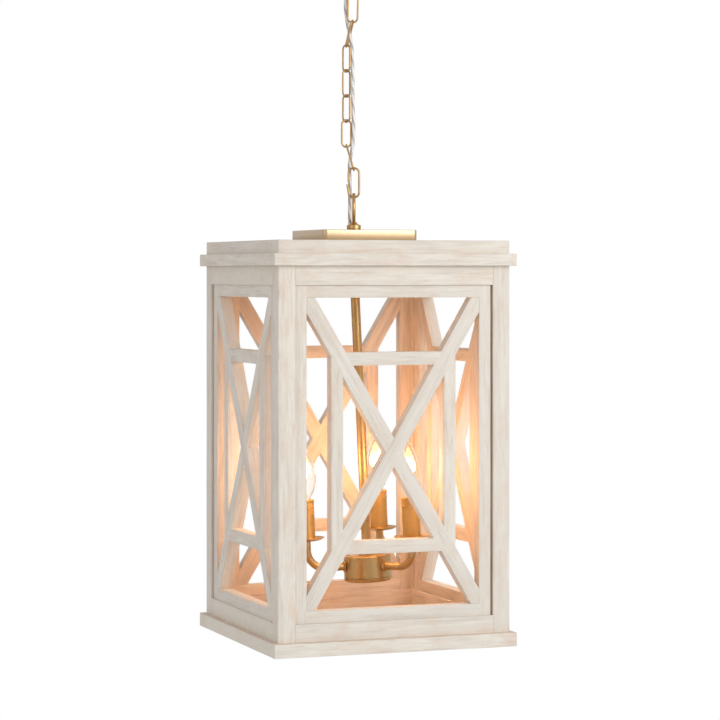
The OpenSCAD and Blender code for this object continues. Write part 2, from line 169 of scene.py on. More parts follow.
def sweep(bm, path, radius, sides=16, closed=False, caps=True):
    """A round wire along a path, with no twist; radius is a number or a function of the share along."""
    count = len(path)
    dirs = []
    for i in range(count):
        ahead = path[(i + 1) % count] if closed or i < count - 1 else path[i]
        behind = path[i - 1] if closed or i > 0 else path[i]
        dirs.append((ahead - behind).normalized())
    a = across(dirs[0])[0]
    rings = []
    for i, (point, d) in enumerate(zip(path, dirs)):
        a = (a - d * a.dot(d)).normalized()
        b = d.cross(a)
        r = radius(i / (count - 1)) if callable(radius) else radius
        rings.append([point + (a * math.cos(t) + b * math.sin(t)) * r
                      for t in (2 * math.pi * k / sides for k in range(sides))])
    if closed:
        rings.append(rings[0])
    skin(bm, rings, caps=(caps and not closed, caps and not closed))
    bmesh.ops.remove_doubles(bm, verts=bm.verts, dist=3e-6)
    return rings


def node_points(node):
    return np.array([v.co for v in frame["nodes"][node].data.vertices], float)


def measure(node, origin, axis, low=-9.0, high=9.0):
    """A node's lowest and highest place along an axis, and its largest distance from it."""
    p = node_points(node) - np.array(origin)
    along = p @ np.array(axis)
    kept = (along >= low) & (along <= high)
    off = np.linalg.norm(p - along[:, None] * np.array(axis), axis=1)
    return along.min(), along.max(), off[kept].max()


# ---- materials ----
class Paint:
    """A node material with a Principled shader, and short ways to add nodes."""

    def __init__(self, name, **values):
        self.material = bpy.data.materials.new(name)
        self.material.use_nodes = True
        self.tree = self.material.node_tree
        self.shader = self.tree.nodes["Principled BSDF"]
        for key, value in values.items():
            self.shader.inputs[key.replace("_", " ")].default_value = value

    def node(self, kind, **values):
        made = self.tree.nodes.new("ShaderNode" + kind)
        for key, value in values.items():
            if hasattr(made, key):
                setattr(made, key, value)
            else:
                made.inputs[key.replace("_", " ")].default_value = value
        return made

    def link(self, out, into):
        self.tree.links.new(out, into)

    def mapped(self, source, scale, shift=(0, 0, 0)):
        m = self.node("Mapping", Scale=scale, Location=shift)
        self.link(source, m.inputs["Vector"])
        return m.outputs["Vector"]

    def noise(self, vector, scale=1.0, detail=4.0, roughness=0.55, distortion=0.0):
        n = self.node("TexNoise", Scale=scale, Detail=detail, Roughness=roughness,
                      Distortion=distortion)
        self.link(vector, n.inputs["Vector"])
        return n.outputs["Fac"]

    def ramp(self, source, *stops):
        """Colours or grey levels at places from 0 to 1."""
        r = self.node("ValToRGB")
        elements = r.color_ramp.elements
        while len(elements) < len(stops):
            elements.new(0.5)
        for element, (place, value) in zip(elements, stops):
            element.position = place
            element.color = (*value, 1) if hasattr(value, "__len__") else (value, value, value, 1)
        self.link(source, r.inputs["Fac"])
        return r.outputs["Color"]

    def mix(self, share, a, b, blend="MIX"):
        m = self.node("Mix", data_type="RGBA", blend_type=blend)
        ins = {s.identifier: s for s in m.inputs}
        for key, value in (("Factor_Float", share), ("A_Color", a), ("B_Color", b)):
            if isinstance(value, bpy.types.NodeSocket):
                self.link(value, ins[key])
            else:
                ins[key].default_value = (*value, 1) if hasattr(value, "__len__") else value
        return next(s for s in m.outputs if s.identifier == "Result_Color")

    def bump(self, height, strength, distance, normal=None):
        b = self.node("Bump", Strength=strength, Distance=distance)
        self.link(height, b.inputs["Height"])
        if normal is not None:
            self.link(normal, b.inputs["Normal"])
        return b.outputs["Normal"]

    def use(self, **sockets):
        for key, value in sockets.items():
            self.link(value, self.shader.inputs[key.replace("_", " ")])
        return self.material


def wood_material(name, worn):
    """Whitewashed boards; worn is how much of the wood shows through the paint; inward faces get painted warm
    shade.
    """
    p = Paint(name, Roughness=0.72)
    p.shader.inputs["Specular IOR Level"].default_value = 0.25
    grain = p.node("Attribute", attribute_name="grain").outputs["Vector"]
    tone = p.node("Attribute", attribute_name="tone").outputs["Fac"]
    streaks = p.noise(p.mapped(grain, (16, 210, 210)), detail=6, roughness=0.62, distortion=0.9)
    bands = p.noise(p.mapped(grain, (5, 55, 55), (3, 1, 7)), detail=3, distortion=1.2)
    clouds = p.noise(p.mapped(grain, (22, 40, 40), (9, 4, 2)), detail=5, roughness=0.65)
    fibres = p.noise(p.mapped(grain, (60, 1500, 1500)), detail=3, roughness=0.7)
    paint = p.ramp(streaks, (0.28, (0.66, 0.59, 0.51)), (0.46, (0.79, 0.735, 0.655)),
                   (0.72, (0.865, 0.825, 0.755)))
    grey = p.mix(p.ramp(bands, (0.50, 0.0), (0.72, 0.42)), paint, (0.62, 0.57, 0.51))
    pink = p.mix(p.ramp(clouds, (0.48, 0.0), (0.70, 0.50)), grey, (0.72, 0.55, 0.43))
    rubbed = p.ramp(fibres, (0.60 - 0.2 * worn, 0.0), (0.80, 0.5 + 0.4 * worn))
    bare = p.mix(rubbed, pink, (0.50, 0.385, 0.285))
    tinted = p.mix(p.ramp(tone, (0.0, 0.0), (1.0, 0.30)), bare, (0.70, 0.66, 0.62))
    # Painted shade: inward faces and the floor's top are mixed halfway to this warm brown, standing for the bulbs'
    # warm light and the dim light inside the cage on the whitewash.
    inward_painted_shade = p.ramp(streaks, (0.28, (0.38, 0.23, 0.14)), (0.50, (0.62, 0.44, 0.31)),
                     (0.75, (0.74, 0.58, 0.44)))
    inside = p.node("Attribute", attribute_name="inside").outputs["Fac"]
    tinted = p.mix(p.ramp(inside, (0.0, 0.0), (1.0, 0.5)), tinted, inward_painted_shade)
    end = p.node("Attribute", attribute_name="end").outputs["Fac"]
    tinted = p.mix(p.ramp(end, (0.0, 0.0), (1.0, 0.45)), tinted, (0.80, 0.73, 0.63))
    pores = p.node("TexVoronoi", Scale=1.0)
    p.link(p.mapped(grain, (90, 170, 170), (5, 5, 5)), pores.inputs["Vector"])
    specks = p.ramp(pores.outputs["Distance"], (0.0, 0.75), (0.085, 0.0))
    rare = p.ramp(p.noise(p.mapped(grain, (11, 15, 15), (2, 8, 4)), detail=1), (0.56, 0.0), (0.66, 1.0))
    colour = p.mix(p.mix(1.0, specks, rare, "MULTIPLY"), tinted, (0.27, 0.19, 0.13))
    normal = p.bump(streaks, 0.55, 0.0006)
    normal = p.bump(fibres, 0.5, 0.00025, normal)
    rough = p.ramp(streaks, (0.3, 0.82), (0.7, 0.62))
    return p.use(Base_Color=colour, Roughness=rough, Normal=normal)


def gold_material(name, bright, dark=(0.50, 0.30, 0.105), rough=0.30, lines=(150, 150, 150), coat=0.0):
    """Antique gold: a satin metal with cloudy patina, and rubbed lines where lines is stretched."""
    p = Paint(name, Metallic=1.0, Roughness=rough)
    place = p.node("TexCoord").outputs["Object"]
    clouds = p.noise(p.mapped(place, (55, 55, 55)), detail=5, roughness=0.6)
    rubbed = p.noise(p.mapped(place, lines, (3, 1, 2)), detail=6, roughness=0.7)
    grain = p.noise(p.mapped(place, (900, 900, 900)), detail=3)
    colour = p.mix(p.ramp(clouds, (0.35, 0.0), (0.75, 0.4)), bright, dark)
    colour = p.mix(p.ramp(rubbed, (0.55, 0.0), (0.85, 0.35)), colour, dark)
    level = p.ramp(rubbed, (0.3, rough - 0.06), (0.75, rough + 0.14))
    normal = p.bump(grain, 0.12, 0.00008, p.bump(rubbed, 0.18, 0.00015))
    p.shader.inputs["Coat Weight"].default_value = coat
    p.shader.inputs["Coat Roughness"].default_value = 0.2
    return p.use(Base_Color=colour, Roughness=level, Normal=normal)


def cord_material():
    """Two twisted strands of silvery wire that show through a clear skin, striped with painted shade in the
    grooves between them and a painted highlight on their crests.
    """
    p = Paint("clear_cord", Roughness=0.35)
    p.shader.inputs["Coat Weight"].default_value = 0.8
    p.shader.inputs["Coat Roughness"].default_value = 0.06
    strand = p.node("Attribute", attribute_name="strand").outputs["Fac"]
    place = p.node("TexCoord").outputs["Object"]
    dust = p.noise(p.mapped(place, (300, 300, 300)), detail=4)
    # Partly painted light: silvery strands, with painted shade in the grooves between them and a painted highlight
    # on their crests.
    colour = p.ramp(strand, (0.0, (0.33, 0.30, 0.28)), (0.35, (0.66, 0.63, 0.61)),
                    (0.72, (0.86, 0.85, 0.84)))
    colour = p.mix(p.ramp(dust, (0.5, 0.0), (0.8, 0.35)), colour, (0.50, 0.42, 0.34))
    return p.use(Base_Color=colour, Normal=p.bump(strand, 0.5, 0.0006))


def glass_material():
    p = Paint("bulb_glass", Roughness=0.0)
    p.shader.inputs["Transmission Weight"].default_value = 1.0
    p.shader.inputs["IOR"].default_value = 1.45
    place = p.node("TexCoord").outputs["Object"]
    ripple = p.noise(p.mapped(place, (45, 45, 30)), detail=2)
    tint = p.ramp(ripple, (0.3, (1.0, 0.95, 0.88)), (0.7, (1.0, 0.985, 0.96)))
    return p.use(Base_Color=tint, Normal=p.bump(ripple, 0.08, 0.0004))


def metal_material(name, colour, dark, rough):
    """Plain plated metal with faint stains."""
    p = Paint(name, Metallic=1.0, Roughness=rough)
    place = p.node("TexCoord").outputs["Object"]
    stain = p.noise(p.mapped(place, (120, 120, 120)), detail=5, roughness=0.65)
    base = p.mix(p.ramp(stain, (0.45, 0.0), (0.8, 0.8)), colour, dark)
    level = p.ramp(stain, (0.3, rough - 0.05), (0.8, rough + 0.2))
    return p.use(Base_Color=base, Roughness=level, Normal=p.bump(stain, 0.1, 0.0001))


def plastic_material(name, colour, dark):
    p = Paint(name, Roughness=0.5)
    place = p.node("TexCoord").outputs["Object"]
    clouds = p.noise(p.mapped(place, (80, 80, 80)), detail=5)
    pits = p.noise(p.mapped(place, (1200, 1200, 1200)), detail=2)
    base = p.mix(p.ramp(clouds, (0.4, 0.0), (0.8, 0.6)), colour, dark)
    return p.use(Base_Color=base, Normal=p.bump(pits, 0.2, 0.0001))


def glow_material():
    """A lit carbon filament, hottest in the middle of each strand."""
    p = Paint("lit_filament", Roughness=0.4)
    p.shader.inputs["Emission Strength"].default_value = 60.0
    place = p.node("TexCoord").outputs["Object"]
    heat = p.noise(p.mapped(place, (260, 260, 260)), detail=2)
    colour = p.ramp(heat, (0.2, (1.0, 0.42, 0.12)), (0.7, (1.0, 0.66, 0.32)))
    return p.use(Base_Color=colour, Emission_Color=colour)


WOOD = [wood_material("whitewashed_wood", 0.0), wood_material("whitewashed_wood_edges", 1.0)]
GOLD = gold_material("antique_gold", bright=(0.62, 0.42, 0.19), dark=(0.42, 0.27, 0.10))
GOLD_CAP = gold_material("antique_gold_cap", bright=(0.70, 0.51, 0.31), dark=(0.58, 0.41, 0.23),
                         rough=0.36, lines=(14, 900, 900), coat=1.0)
GOLD_CHAIN = gold_material("antique_gold_chain", bright=(0.62, 0.40, 0.175), dark=(0.33, 0.19, 0.07),
                           rough=0.34)
GOLD_SLEEVE = gold_material("antique_gold_sleeve", bright=(0.66, 0.42, 0.15), rough=0.40)
STEEL = metal_material("zinc_steel", (0.66, 0.66, 0.64), (0.42, 0.41, 0.39), 0.35)
NICKEL = metal_material("nickelled_brass", (0.78, 0.72, 0.58), (0.50, 0.43, 0.31), 0.28)
PLASTIC = plastic_material("socket_plastic", (0.80, 0.74, 0.62), (0.60, 0.52, 0.40))
CORD = cord_material()
GLASS = glass_material()
GLOW = glow_material()


# ---- lamp cord ----
CORD_D = 4.8 * MM
# Sideways, backward and up from the base, in millimetres, as in the part's source
CORD_ROUTE = [
    (-12, 10, 948), (-12, 10, 936), (-12, 10, 922), (-12, 9, 905), (-12, 8, 890), (-11.5, 6, 872),
    (-11, 5, 856), (-11, 4.5, 842), (-9.5, 4, 830), (-8, 4, 820), (-5.8, 4, 810), (-3.8, 5.5, 799),
    (-2.5, 8, 787), (-2, 8, 770), (-1.5, 8, 750), (-1.5, 8, 730), (-1, 8, 710), (-0.5, 8, 690),
    (-0.5, 8, 675), (-1.5, 7, 661), (-3, 5, 650), (-4.7, 3.8, 642), (-5.8, 4.5, 633),
    (-5.6, 6, 620), (-5.2, 6.5, 605), (-5.4, 7, 590), (-5.5, 9, 574), (-5.5, 12.5, 560),
    (-5.5, 14, 550), (-5.5, 14, 538),
]


def hung(side, back, up):
    """A point beside the chain: sideways, backward and above the base slab, in millimetres."""
    return SIDE * side * MM + BACK * back * MM + UP * (BASE_Z + up * MM)


def smooth_line(points, cuts):
    """A Catmull-Rom line through points."""
    line = []
    for i in range(len(points) - 1):
        a, b, c, d = (points[max(0, min(len(points) - 1, i + k))] for k in (-1, 0, 1, 2))
        for k in range(cuts):
            t = k / cuts
            line.append((2 * b + (c - a) * t + (2 * a - 5 * b + 4 * c - d) * t * t
                         + (3 * b - a - 3 * c + d) * t ** 3) / 2)
    return line + [points[-1]]


def micron(point):
    """A point rounded to a thousandth of a millimetre, to look it up by."""
    return tuple(round(c, 6) for c in point)


def cord_tube(name, line):
    """A tube whose strand attribute winds twice round it, as the wires inside do."""
    sides, twist = 16, 22 * MM
    bm = bmesh.new()
    rings = sweep(bm, line, CORD_D / 2, sides=sides)
    strand = {}
    travelled = 0.0
    for i, ring in enumerate(rings):
        travelled += (line[i] - line[i - 1]).length if i else 0
        for k, point in enumerate(ring):
            turn = 2 * (2 * math.pi * k / sides) + 2 * math.pi * travelled / twist
            strand[micron(point)] = 0.5 + 0.5 * math.cos(turn)
    obj = new_object(name, bm, [CORD])
    values = [strand.get(micron(v.co), 0.5) for v in obj.data.vertices]
    attribute = obj.data.attributes.new("strand", "FLOAT", "POINT")
    attribute.data.foreach_set("value", values)
    return obj


def add_cord():
    """The cord in two lengths that meet halfway down the chain."""
    line = smooth_line([hung(*p) for p in CORD_ROUTE], 5)
    half = len(line) // 2
    for name, part, bodies, ends in (
        ("lamp_cord_upper", line[: half + 1], ("ceiling_mount", "chain"), (925, 880)),
        ("lamp_cord_lower", line[half:][::-1], ("lantern", "chain"), (562, 604)),
    ):
        obj = cord_tube(name, part)
        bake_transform(obj)
        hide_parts("lamp_cord")


add_cord()


# ---- wood ----
class Board:
    """A straight board in a node: the strip between two planes, its grain along the strip."""

    def __init__(self, across_dir, thin, low, high):
        self.across, self.thin, self.low, self.high = across_dir, thin, low, high
        self.along = across_dir.cross(thin).normalized()
        self.shift = Vector([random.uniform(0, 9) for _ in range(3)])
        self.shade = random.random()

    def holds(self, point):
        return self.low - 1e-4 < point.dot(self.across) < self.high + 1e-4

    def grain_at(self, point):
        local = [point.dot(axis) for axis in (self.along, self.across, self.thin)]
        return Vector(local) + self.shift


def strips_in(bm, thin):
    """The boards of a node whose joints are flush, from the pairs of faces that bound each."""
    bounds = {}
    for face in bm.faces:
        if abs(face.normal.dot(thin)) > 0.1:
            continue
        sign = 1 if max(face.normal, key=abs) > 0 else -1
        n = face.normal * sign
        key = tuple(round(c, 2) + 0.0 for c in n)
        bounds.setdefault(key, []).append((round(face.calc_center_median().dot(n), 4), sign, n))
    boards = []
    for key in sorted(bounds):
        low = None
        for offset, sign, n in sorted(bounds[key], key=lambda b: b[:2]):
            if sign < 0:
                low = offset
            elif low is not None:
                boards.append(Board(n, thin, low, offset))
                low = None
    slanted = [b for b in boards if max(abs(c) for c in b.across) < 0.99]
    level = [b for b in boards if b not in slanted and abs(b.along.z) < 0.5]
    return slanted + [b for b in boards if b not in slanted and b not in level] + level


def islands_of(bm):
    """The separate solids in a mesh, as lists of vertices."""
    left, found = set(bm.verts), []
    while left:
        stack, island = [left.pop()], []
        while stack:
            v = stack.pop()
            island.append(v)
            for edge in v.link_edges:
                other = edge.other_vert(v)
                if other in left:
                    left.discard(other)
                    stack.append(other)
        found.append(island)
    return found


def box_of(points):
    lows, highs = ([f(p[k] for p in points) for k in range(3)] for f in (min, max))
    return Vector(lows), Vector(highs)


def single_board(points, along):
    """One board from the box of its points; its grain runs along the longest side if along is None."""
    low, high = box_of(points)
    size = high - low
    k = max(range(3), key=lambda i: size[i]) if along is None else along
    others = sorted((i for i in range(3) if i != k), key=lambda i: -size[i])
    axes = (X, Y, UP)
    return Board(axes[others[0]], axes[others[1]], low[others[0]], high[others[0]])


def cut_at(bm, axis, offset):
    geometry = list(bm.verts) + list(bm.edges) + list(bm.faces)
    bmesh.ops.bisect_plane(bm, geom=geometry, plane_co=axis * offset, plane_no=axis, dist=1e-5)


def wooden(node, joined=None, corners=None, along=None, bevel=0.7 * MM, wave=0.2 * MM, step=45 * MM):
    """A copy of a CAD node with softened, slightly uneven edges and a grain along each of its boards.

    joined is the thin direction of boards that meet flush; corners picks the board that owns a corner.
    """
    bm = bmesh.new()
    bm.from_mesh(frame["nodes"][node].data)
    bmesh.ops.remove_doubles(bm, verts=bm.verts, dist=1e-5)
    bmesh.ops.dissolve_limit(bm, angle_limit=math.radians(1), verts=bm.verts, edges=bm.edges)
    bm.normal_update()
    boards = strips_in(bm, joined) if joined else []
    low, high = box_of([v.co for v in bm.verts])
    sharp = [e for e in bm.edges if len(e.link_faces) == 2 and e.calc_face_angle(0) > math.radians(25)]
    bmesh.ops.bevel(bm, geom=sharp, offset=bevel, segments=2, profile=0.55, affect="EDGES", material=1)
    for board in boards:
        for offset in (board.low, board.high):
            cut_at(bm, board.across, offset)
    for k, axis in enumerate((X, Y, UP)):
        count = int((high[k] - low[k]) / step)
        for i in range(1, count):
            cut_at(bm, axis, low[k] + (high[k] - low[k]) * i / count)
    bm.normal_update()
    grain = bm.loops.layers.float_vector.new("grain")
    tone, inside, end = (bm.faces.layers.float.new(n) for n in ("tone", "inside", "end"))
    for island in islands_of(bm):
        own = boards or [single_board([v.co for v in island], along)]
        for face in {f for v in island for f in v.link_faces}:
            centre = face.calc_center_median()
            holding = [b for b in own if b.holds(centre)] or own[:1]
            board = corners(holding, centre) if corners and len(holding) > 1 else holding[0]
            for loop in face.loops:
                loop[grain] = board.grain_at(loop.vert.co)
            inward = Vector((-centre.x, -centre.y, 0)).normalized()
            face[tone] = board.shade
            floor_top = node == "base_board" and face.normal.z > 0.9
            # inside marks the inward faces and the floor's top, which the wood material paints with warm shade.
            face[inside] = float(face.normal.dot(inward) > 0.6 or floor_top)
            face[end] = float(abs(face.normal.dot(board.along)) > 0.9)
    for v in bm.verts:
        v.co += noise.noise_vector(v.co * 28) * wave
    return stand_for(new_object(node + "_wood", bm, WOOD, 30), node)


def pinwheel(holding, centre):
    """At a corner, the strip that runs past the other's end; each covers the end of the one before."""
    wanted = 0 if centre.x * centre.y < 0 else 1
    return max(holding, key=lambda b: abs(b.across[wanted]))


def front_and_back(holding, centre):
    return max(holding, key=lambda b: abs(b.across.y))


for wooden_node in [n for n in frame["nodes"] if slot_of_node[n] == "whitewashed_wood"]:
    if wooden_node.startswith(("panel_frame", "lattice")):
        wooden(wooden_node, joined=X if wooden_node.endswith(("left", "right")) else Y, bevel=0.4 * MM)
    elif wooden_node == "cornice_strips":
        wooden(wooden_node, joined=UP, corners=pinwheel)
    elif wooden_node == "crown_boards":
        wooden(wooden_node, joined=UP, corners=front_and_back)
    elif wooden_node.endswith("_rails"):
        wooden(wooden_node, joined=UP, corners=front_and_back, bevel=0.4 * MM)
    elif wooden_node in ("base_board", "lid_board"):
        wooden(wooden_node, along=0)
    else:
        wooden(wooden_node, bevel=0.4 * MM)


# ---- brass cap ----
def rounded_outline(half, r, inset, z, steps=10):
    """A square outline with round corners, moved in by inset."""
    points = []
    for quarter in range(4):
        turned = Matrix.Rotation(math.radians(90 * quarter), 3, "Z")
        for x, y in arc(half - r, half - r, r - inset, 0, 90, steps):
            points.append(turned @ Vector((x, y, 0)) + UP * z)
    return points


def add_cap():
    low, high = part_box("brass_cap")
    half, r, edge, wall = high.x, 6 * MM, 1.0 * MM, 1.6 * MM
    rings = [rounded_outline(half, r, wall, low.z), rounded_outline(half, r, 0.2 * MM, low.z),
             rounded_outline(half, r, 0, low.z + 0.3 * MM), rounded_outline(half, r, 0, high.z - edge)]
    for x, z in arc(0, 0, edge, 0, 90, 4)[1:]:
        rings.append(rounded_outline(half, r, edge - x, high.z - edge + z))
    rings.append(rounded_outline(half, r, 4 * MM, high.z))
    rings += [rounded_outline(half * share, r * share, 0, high.z) for share in (0.6, 0.2)]
    bm = bmesh.new()
    skin(bm, rings, caps=(False, True))
    stand_for(new_object("brass_cap_shell", bm, [GOLD_CAP]), "brass_cap")


add_cap()


# ---- rings, links and canopy ----
def add_loop(node, sign):
    """A loop ring and its turned collar; sign is +1 where the collar points up."""
    low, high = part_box(node)
    p = node_points(node)
    ring_out = np.linalg.norm(p[:, :2], axis=1).max()
    centre_z = low.z + ring_out if sign > 0 else high.z - ring_out
    far = p[np.linalg.norm(p[:, :2], axis=1).argmax()]
    wide = Vector((far[0], far[1], 0)).normalized()
    thin = UP.cross(wide)
    free = p[(p[:, 2] - centre_z) * sign < 0]
    wire = 2 * np.abs(free @ np.array(thin)).max()
    centre = Vector((0, 0, centre_z))
    r = ring_out - wire / 2
    bm = bmesh.new()
    path = [centre + (wide * math.sin(t) + UP * math.cos(t)) * r for t in turn_steps(2 * math.pi, 96)[:-1]]
    sweep(bm, path, wire / 2, sides=24, closed=True)
    stand_for(new_object(node + "_ring", bm, [GOLD_CHAIN]), node)
    bm = bmesh.new()
    collar = max(measure(node, centre, UP * sign, ring_out + 2 * MM)[2], 5 * MM)
    foot = ring_out - 1.0 * MM
    top = (high.z - centre_z) if sign > 0 else (centre_z - low.z)
    profile = [(0, foot - 1.5 * MM), (3.6 * MM, foot - 1.2 * MM), (4.6 * MM, foot + 0.2 * MM),
               (5.2 * MM, foot + 1.2 * MM), (collar - 1.6 * MM, foot + 2.6 * MM)]
    profile += arc(collar - 0.8 * MM, foot + 3.6 * MM, 0.8 * MM, -80, 0, 4)
    groove = collar - 0.5 * MM
    profile += [(collar, top - 2.6 * MM), (groove, top - 2.2 * MM), (groove, top - 1.8 * MM),
                (collar, top - 1.4 * MM), (collar, top - 0.4 * MM), (collar - 0.3 * MM, top), (0, top)]
    lathe(bm, centre, UP * sign, profile)
    ride_with(new_object(node + "_collar", bm, [GOLD_CHAIN]), node)


add_loop("lantern_loop", -1)
add_loop("canopy_loop", 1)


def stadium(centre, long, wide, length, r, steps=16):
    """A closed path with two straight sides; length is between the end points."""
    half = length / 2 - r
    points = []
    for end in (1, -1):
        for t in turn_steps(math.pi, steps):
            points.append(centre + long * end * (half + r * math.sin(t)) + wide * end * r * math.cos(t))
        for k in range(1, 6):
            share = 1 - k / 3
            points.append(centre + long * (end * half * share) - wide * (end * r))
    return points


def long_axis(points):
    """The middle of some points, and the directions in which they spread from most to least."""
    p = np.array(points, float)
    values, vectors = np.linalg.eigh(np.cov((p - p.mean(0)).T))
    return Vector(p.mean(0)), [Vector(vectors[:, k]).normalized() for k in (2, 1, 0)]


def add_link(node):
    """A welded link; the weld is a small swelling on one long side."""
    centre, (long, wide, thin) = long_axis(node_points(node))
    p = node_points(node) - np.array(centre)
    length, width, wire = (2 * np.abs(p @ np.array(a)).max() for a in (long, wide, thin))
    centre = Vector((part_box(node)[0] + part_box(node)[1]) / 2)
    path = stadium(centre, long, wide, length - wire, (width - wire) / 2)
    weld = centre - wide * (width - wire) / 2
    bm = bmesh.new()
    sweep(bm, path, wire / 2, sides=16, closed=True)
    for v in bm.verts:
        offset = v.co - weld
        along = offset.dot(long)
        bulge = 0.10 * math.exp(-(along / (0.9 * MM)) ** 2) if offset.length < 5 * MM else 0
        v.co += (offset - long * along) * bulge
    return stand_for(new_object(node + "_wire", bm, [GOLD_CHAIN]), node)


for number in range(1, 9):
    add_link(f"chain_link_{number}")


def add_connector():
    """The open link that joins the chain to the lantern's ring; its left side is cut and sprung out."""
    node = "connector_link"
    p = node_points(node)
    foot = Vector(joints["lantern_rock"]["pos_m"])
    wire = 2 * np.abs(p @ np.array(BACK)).max()
    r = (p @ np.array(SIDE)).max() - wire / 2
    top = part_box(node)[1].z - wire / 2
    low, high = foot + UP * r, Vector((foot.x, foot.y, top - r))
    cut = (high - low).length * 0.52
    splay, gap = math.radians(9), 2 * MM
    sprung = (UP * math.cos(splay) - SIDE * math.sin(splay)) * (cut - gap)
    path = [low - SIDE * r + sprung * k / 6 for k in range(6, 0, -1)]
    path += [low - (SIDE * math.cos(t) + UP * math.sin(t)) * r for t in turn_steps(math.pi, 20)]
    path += [low.lerp(high, k / 8) + SIDE * r for k in range(1, 8)]
    path += [high + (SIDE * math.cos(t) + UP * math.sin(t)) * r for t in turn_steps(math.pi, 20)]
    path += [high - SIDE * r - UP * ((high - low).length - cut) * k / 5 for k in range(1, 6)]
    bm = bmesh.new()
    sweep(bm, path, wire / 2, sides=16)
    ends = [e for e in bm.edges if e.calc_face_angle(0) > math.radians(60)]
    bmesh.ops.bevel(bm, geom=ends, offset=0.35 * MM, segments=2, affect="EDGES")
    stand_for(new_object("connector_wire", bm, [GOLD_CHAIN]), node)


add_connector()


def add_canopy():
    low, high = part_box("canopy")
    r, h = high.x, high.z - low.z
    hole, wall = 5.2 * MM, 1.5 * MM
    cup = [(r - x * MM, y * MM) for x, y in ((24, 0), (19, 0.6), (15.5, 2.4), (13, 5.2), (11, 11))]
    flare = [(10, 9), (9, 6), (6, 4), (2, 3), (0.5, 2.2), (0, 1.2), (0, 0), (2, 0), (7, 1.8), (11.5, 7)]
    rim = [(r - x * MM, h - y * MM) for x, y in flare]
    inner = [(r - x * MM, y * MM) for x, y in ((14.5, 6), (18, 2.4))]
    profile = [(hole, 0), *cup, *rim, *inner, (r - 24 * MM, wall), (hole, wall), (hole, 0)]
    bm = bmesh.new()
    lathe(bm, Vector((0, 0, low.z)), UP, profile, segments=128)
    stand_for(new_object("canopy_cup", bm, [GOLD]), "canopy")


add_canopy()

# ---- light cluster ----
AXIS = Vector(joints["cluster_turn"]["axis"]).normalized()
PIVOT = Vector(joints["cluster_turn"]["pos_m"])
CANDLES = [Vector(joints[f"bulb_{i}_turn"]["pos_m"]) for i in (1, 2, 3)]


def turned(node, name, profile_of, material=None, segments=96, origin=PIVOT, shape=None):
    """A turned piece on an axis; profile_of gets its lowest place, height and radius."""
    low, high, r = measure(node, origin, AXIS)
    bm = bmesh.new()
    lathe(bm, origin + AXIS * low, AXIS, profile_of(high - low, r), segments, shape)
    return new_object(name, bm, [material or GOLD])


STEM_HOLE = 6.3 * MM


def stem_profile(h, r):
    rod, ball_z = 6.2 * MM, h - r
    ball = arc(0, ball_z, r, -math.degrees(math.acos(rod / r)), 90, 16)
    return [(0, 0), (rod, 0), *[(rod, (ball_z - r) * k / 12) for k in range(1, 12)], *ball[:-1], (0, h)]


def collar_profile(h, r):
    shoulder = [(0, 0), (0, 0.42), (0.4, 0.50), (1.6, 0.56), (2.2, 0.72), (3.0, 0.80), (3.4, 1)]
    outside = [(r - x * MM, h * share) for x, share in shoulder]
    return [(STEM_HOLE, 0), *outside, (STEM_HOLE, h), (STEM_HOLE, 0)]


def drum_profile(h, r):
    edge = 2.2 * MM
    rounded = arc(r - edge, h - edge, edge, 0, 90, 8)
    return [(r - 1.6 * MM, 0), (r, 0), (r, h * 0.3), *rounded, (14 * MM, h), (STEM_HOLE, h)]


def cover_profile(h, r):
    lip = 4.4 * MM
    edge = [(5, 0), (2.4, 0.3), (1.1, 1.0), (0.3, 1.9), (0, 2.6)]
    outside = [(r - x * MM, y * MM) for x, y in edge]
    return [(0, 0), *outside, (r, lip + 1.0 * MM), (r - 0.7 * MM, lip + 1.5 * MM),
            (r - 3 * MM, lip + 1.5 * MM), (r - 3 * MM, 2 * MM), (0, 2 * MM)]


def finial_profile(h, r):
    head, thread = h - 7.9 * MM, 2 * MM
    return [(0, 0), (r - 1.5 * MM, 0), (r - 0.9 * MM, 0.2 * MM), (r, head - 0.3 * MM), (r, head),
            (thread, head), (thread, h), (0, h)]


stand_for(turned("stem", "stem_rod", stem_profile), "stem")
stand_for(turned("stem_collar", "stem_collar_turned", collar_profile), "stem_collar")
stand_for(turned("hub_drum", "hub_drum_spun", drum_profile, segments=128), "hub_drum")
stand_for(turned("hub_cover", "hub_cover_spun", cover_profile, segments=128), "hub_cover")
stand_for(turned("hub_finial", "hub_finial_turned", finial_profile), "hub_finial")


def add_arm(i):
    """A bent tube from the hub out and up to its candle."""
    node, candle = f"arm_{i}", CANDLES[i - 1]
    low, high, _ = measure(node, candle, AXIS)
    radius = measure(node, candle, AXIS, high - 1 * MM)[2]
    level = candle + AXIS * (low + radius)
    hub = PIVOT + AXIS * (level - PIVOT).dot(AXIS)
    out = (level - hub).normalized()
    bend = 25 * MM
    corner = level - out * bend + AXIS * bend
    path = [hub + out * 26 * MM]
    path += [path[0].lerp(level - out * bend, k / 4) for k in range(1, 5)]
    quarter = turn_steps(math.pi / 2, 24)[1:]
    path += [corner + (out * math.sin(t) - AXIS * math.cos(t)) * bend for t in quarter]
    path += [candle + AXIS * high]
    bm = bmesh.new()
    sweep(bm, path, radius, sides=32)
    stand_for(new_object(node + "_tube", bm, [GOLD]), node)
    bm = bmesh.new()
    washer = [(0, 0), (2.2, 0), (2.6, 0.5), (2.3, 1.4), (0.6, 2.2), (0, 2.4)]
    profile = [(radius + x * MM, y * MM) for x, y in washer]
    drum = measure("hub_cover", PIVOT, AXIS)[2]
    lathe(bm, hub + out * drum, out, profile, 48)
    ride_with(new_object(node + "_washer", bm, [GOLD]), node)


